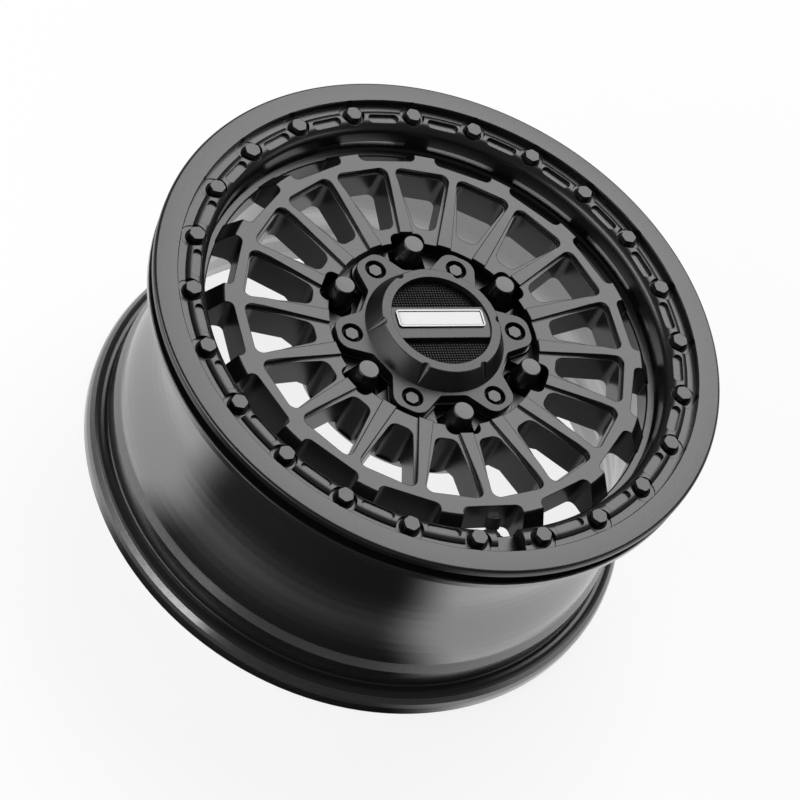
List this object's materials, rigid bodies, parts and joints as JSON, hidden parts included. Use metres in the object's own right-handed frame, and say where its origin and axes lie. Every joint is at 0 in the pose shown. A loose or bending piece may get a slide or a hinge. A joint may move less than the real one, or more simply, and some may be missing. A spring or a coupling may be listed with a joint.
{
  "type": "bolt-ring off-road wheel",
  "caption": "Satin black cast off-road wheel with thin raised spokes, a bolted bead clamp ring, closed lug nuts and a screwed hub cap with a domed centre.",
  "frame": {"origin": "centre of the inboard flange's outer face, on which the wheel lies", "axes": "+Z along the wheel axis, towards the outboard face; -Y towards the valve"},
  "size_m": [0.41, 0.4098, 0.194],
  "materials": {
    "satin_black_casting": "satin black coat",
    "black_cap": "satin black",
    "dark_steel": "black oxide",
    "dark_mesh": "matt black",
    "pale_plate": "satin",
    "black_rubber": "matt",
    "valve_brass": "satin"
  },
  "bodies": {
    "root": {"rim": "satin_black_casting", "beadlock_ring": "satin_black_casting", "ring_bolts": "dark_steel", "ring_washers": "dark_steel", "lug_nuts": "dark_steel", "centre_cap": "black_cap", "cap_mesh": "dark_mesh", "cap_plate": "pale_plate", "cap_screws": "dark_steel", "cap_washers": "black_rubber", "valve_stem": "valve_brass", "valve_seal": "black_rubber", "valve_washer": "dark_steel", "valve_nut": "valve_brass", "valve_core": "valve_brass", "valve_cap": "dark_mesh"}
  },
  "joints": []
}
